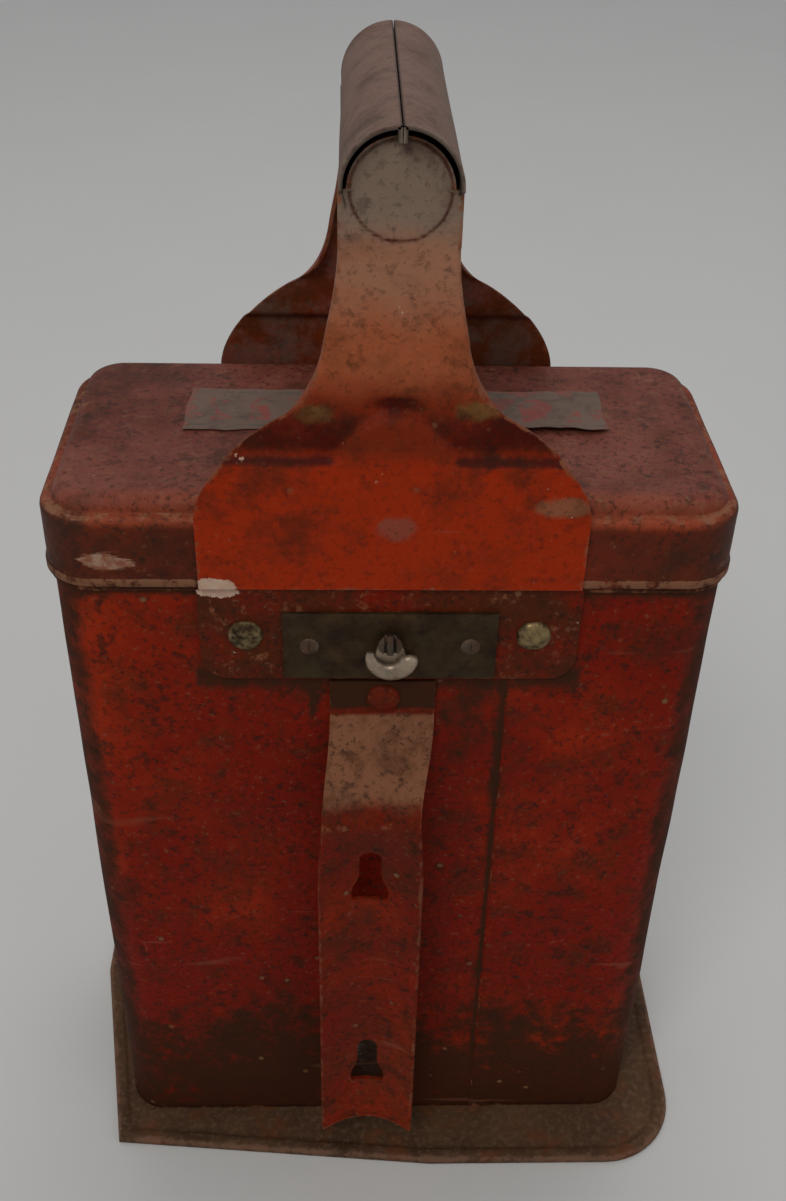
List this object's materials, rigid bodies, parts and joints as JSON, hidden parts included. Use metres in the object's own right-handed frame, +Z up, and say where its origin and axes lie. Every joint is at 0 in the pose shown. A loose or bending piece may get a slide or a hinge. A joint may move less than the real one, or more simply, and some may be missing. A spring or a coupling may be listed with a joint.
{
  "type": "lunch box",
  "caption": "Lockable sheet-metal lunch tin with a wide base plate, hinged lid, raised carrying handle, turn latch and a keyholed hanger strap.",
  "frame": {"origin": "centre of the bounding box on the underside of the base plate", "axes": "+Z up through lid and handle; the front with lock and hanger strap faces -Y; +X is to the right seen from the front"},
  "size_m": [0.226, 0.134, 0.3775],
  "materials": {
    "base_plate": "rusted and worn, matte",
    "base_rivets": "dull",
    "body_shell": "old orange-red paint, grimy, worn at the edges",
    "body_floor": "dull, rusty",
    "lock_mount_plate": "old orange-red paint, chipped",
    "plate_rivets": "tarnished, dull",
    "lock_plate": "tarnished olive brass",
    "lock_screws": "dull",
    "lock_backing_plate": "dull",
    "spring_washer": "dull",
    "hanger_strap": "old orange-red paint, rubbed pale on the slope",
    "hanger_rivet": "dark red paint over grime",
    "hinge_body_leaf": "old orange-red paint, worn",
    "hinge_body_rivets": "old orange-red paint, worn",
    "hinge_pin": "dull",
    "lid_shell": "faded brownish red paint, grimy",
    "lid_label": "faded printed paper, stained",
    "front_handle_bracket": "old orange-red paint, rubbed to grey at the top",
    "rear_handle_bracket": "old red paint, grimy",
    "grip_tube": "paint rubbed off to grey-brown metal",
    "catch_tongue": "dull",
    "hinge_lid_leaf": "old orange-red paint, worn",
    "hinge_lid_rivets": "old orange-red paint, worn",
    "thumb_lever": "handled bright",
    "latch_spindle": "dull",
    "cam_arm": "dull",
    "spindle_nut": "dull"
  },
  "bodies": {
    "box": {"base_plate": "base_plate", "base_rivets": "base_rivets", "body_shell": "body_shell", "body_floor": "body_floor", "lock_mount_plate": "lock_mount_plate", "plate_rivets": "plate_rivets", "lock_plate": "lock_plate", "lock_screws": "lock_screws", "lock_backing_plate": "lock_backing_plate", "spring_washer": "spring_washer", "hanger_strap": "hanger_strap", "hanger_rivet": "hanger_rivet", "hinge_body_leaf": "hinge_body_leaf", "hinge_body_rivets": "hinge_body_rivets", "hinge_pin": "hinge_pin"},
    "lid": {"lid_shell": "lid_shell", "lid_label": "lid_label", "front_handle_bracket": "front_handle_bracket", "rear_handle_bracket": "rear_handle_bracket", "grip_tube": "grip_tube", "catch_tongue": "catch_tongue", "hinge_lid_leaf": "hinge_lid_leaf", "hinge_lid_rivets": "hinge_lid_rivets"},
    "latch": {"thumb_lever": "thumb_lever", "latch_spindle": "latch_spindle", "cam_arm": "cam_arm", "spindle_nut": "spindle_nut"}
  },
  "joints": [
    {"name": "lid_hinge", "type": "hinge", "parent": "box", "child": "lid", "pos_m": [0, 0.0496, 0.251], "axis": [-1, 0, 0], "range_deg": [0, 180]},
    {"name": "latch_turn", "type": "hinge", "parent": "box", "child": "latch", "pos_m": [0, -0.0463, 0.2333], "axis": [0, 1, 0], "range_deg": [0, 90]}
  ]
}
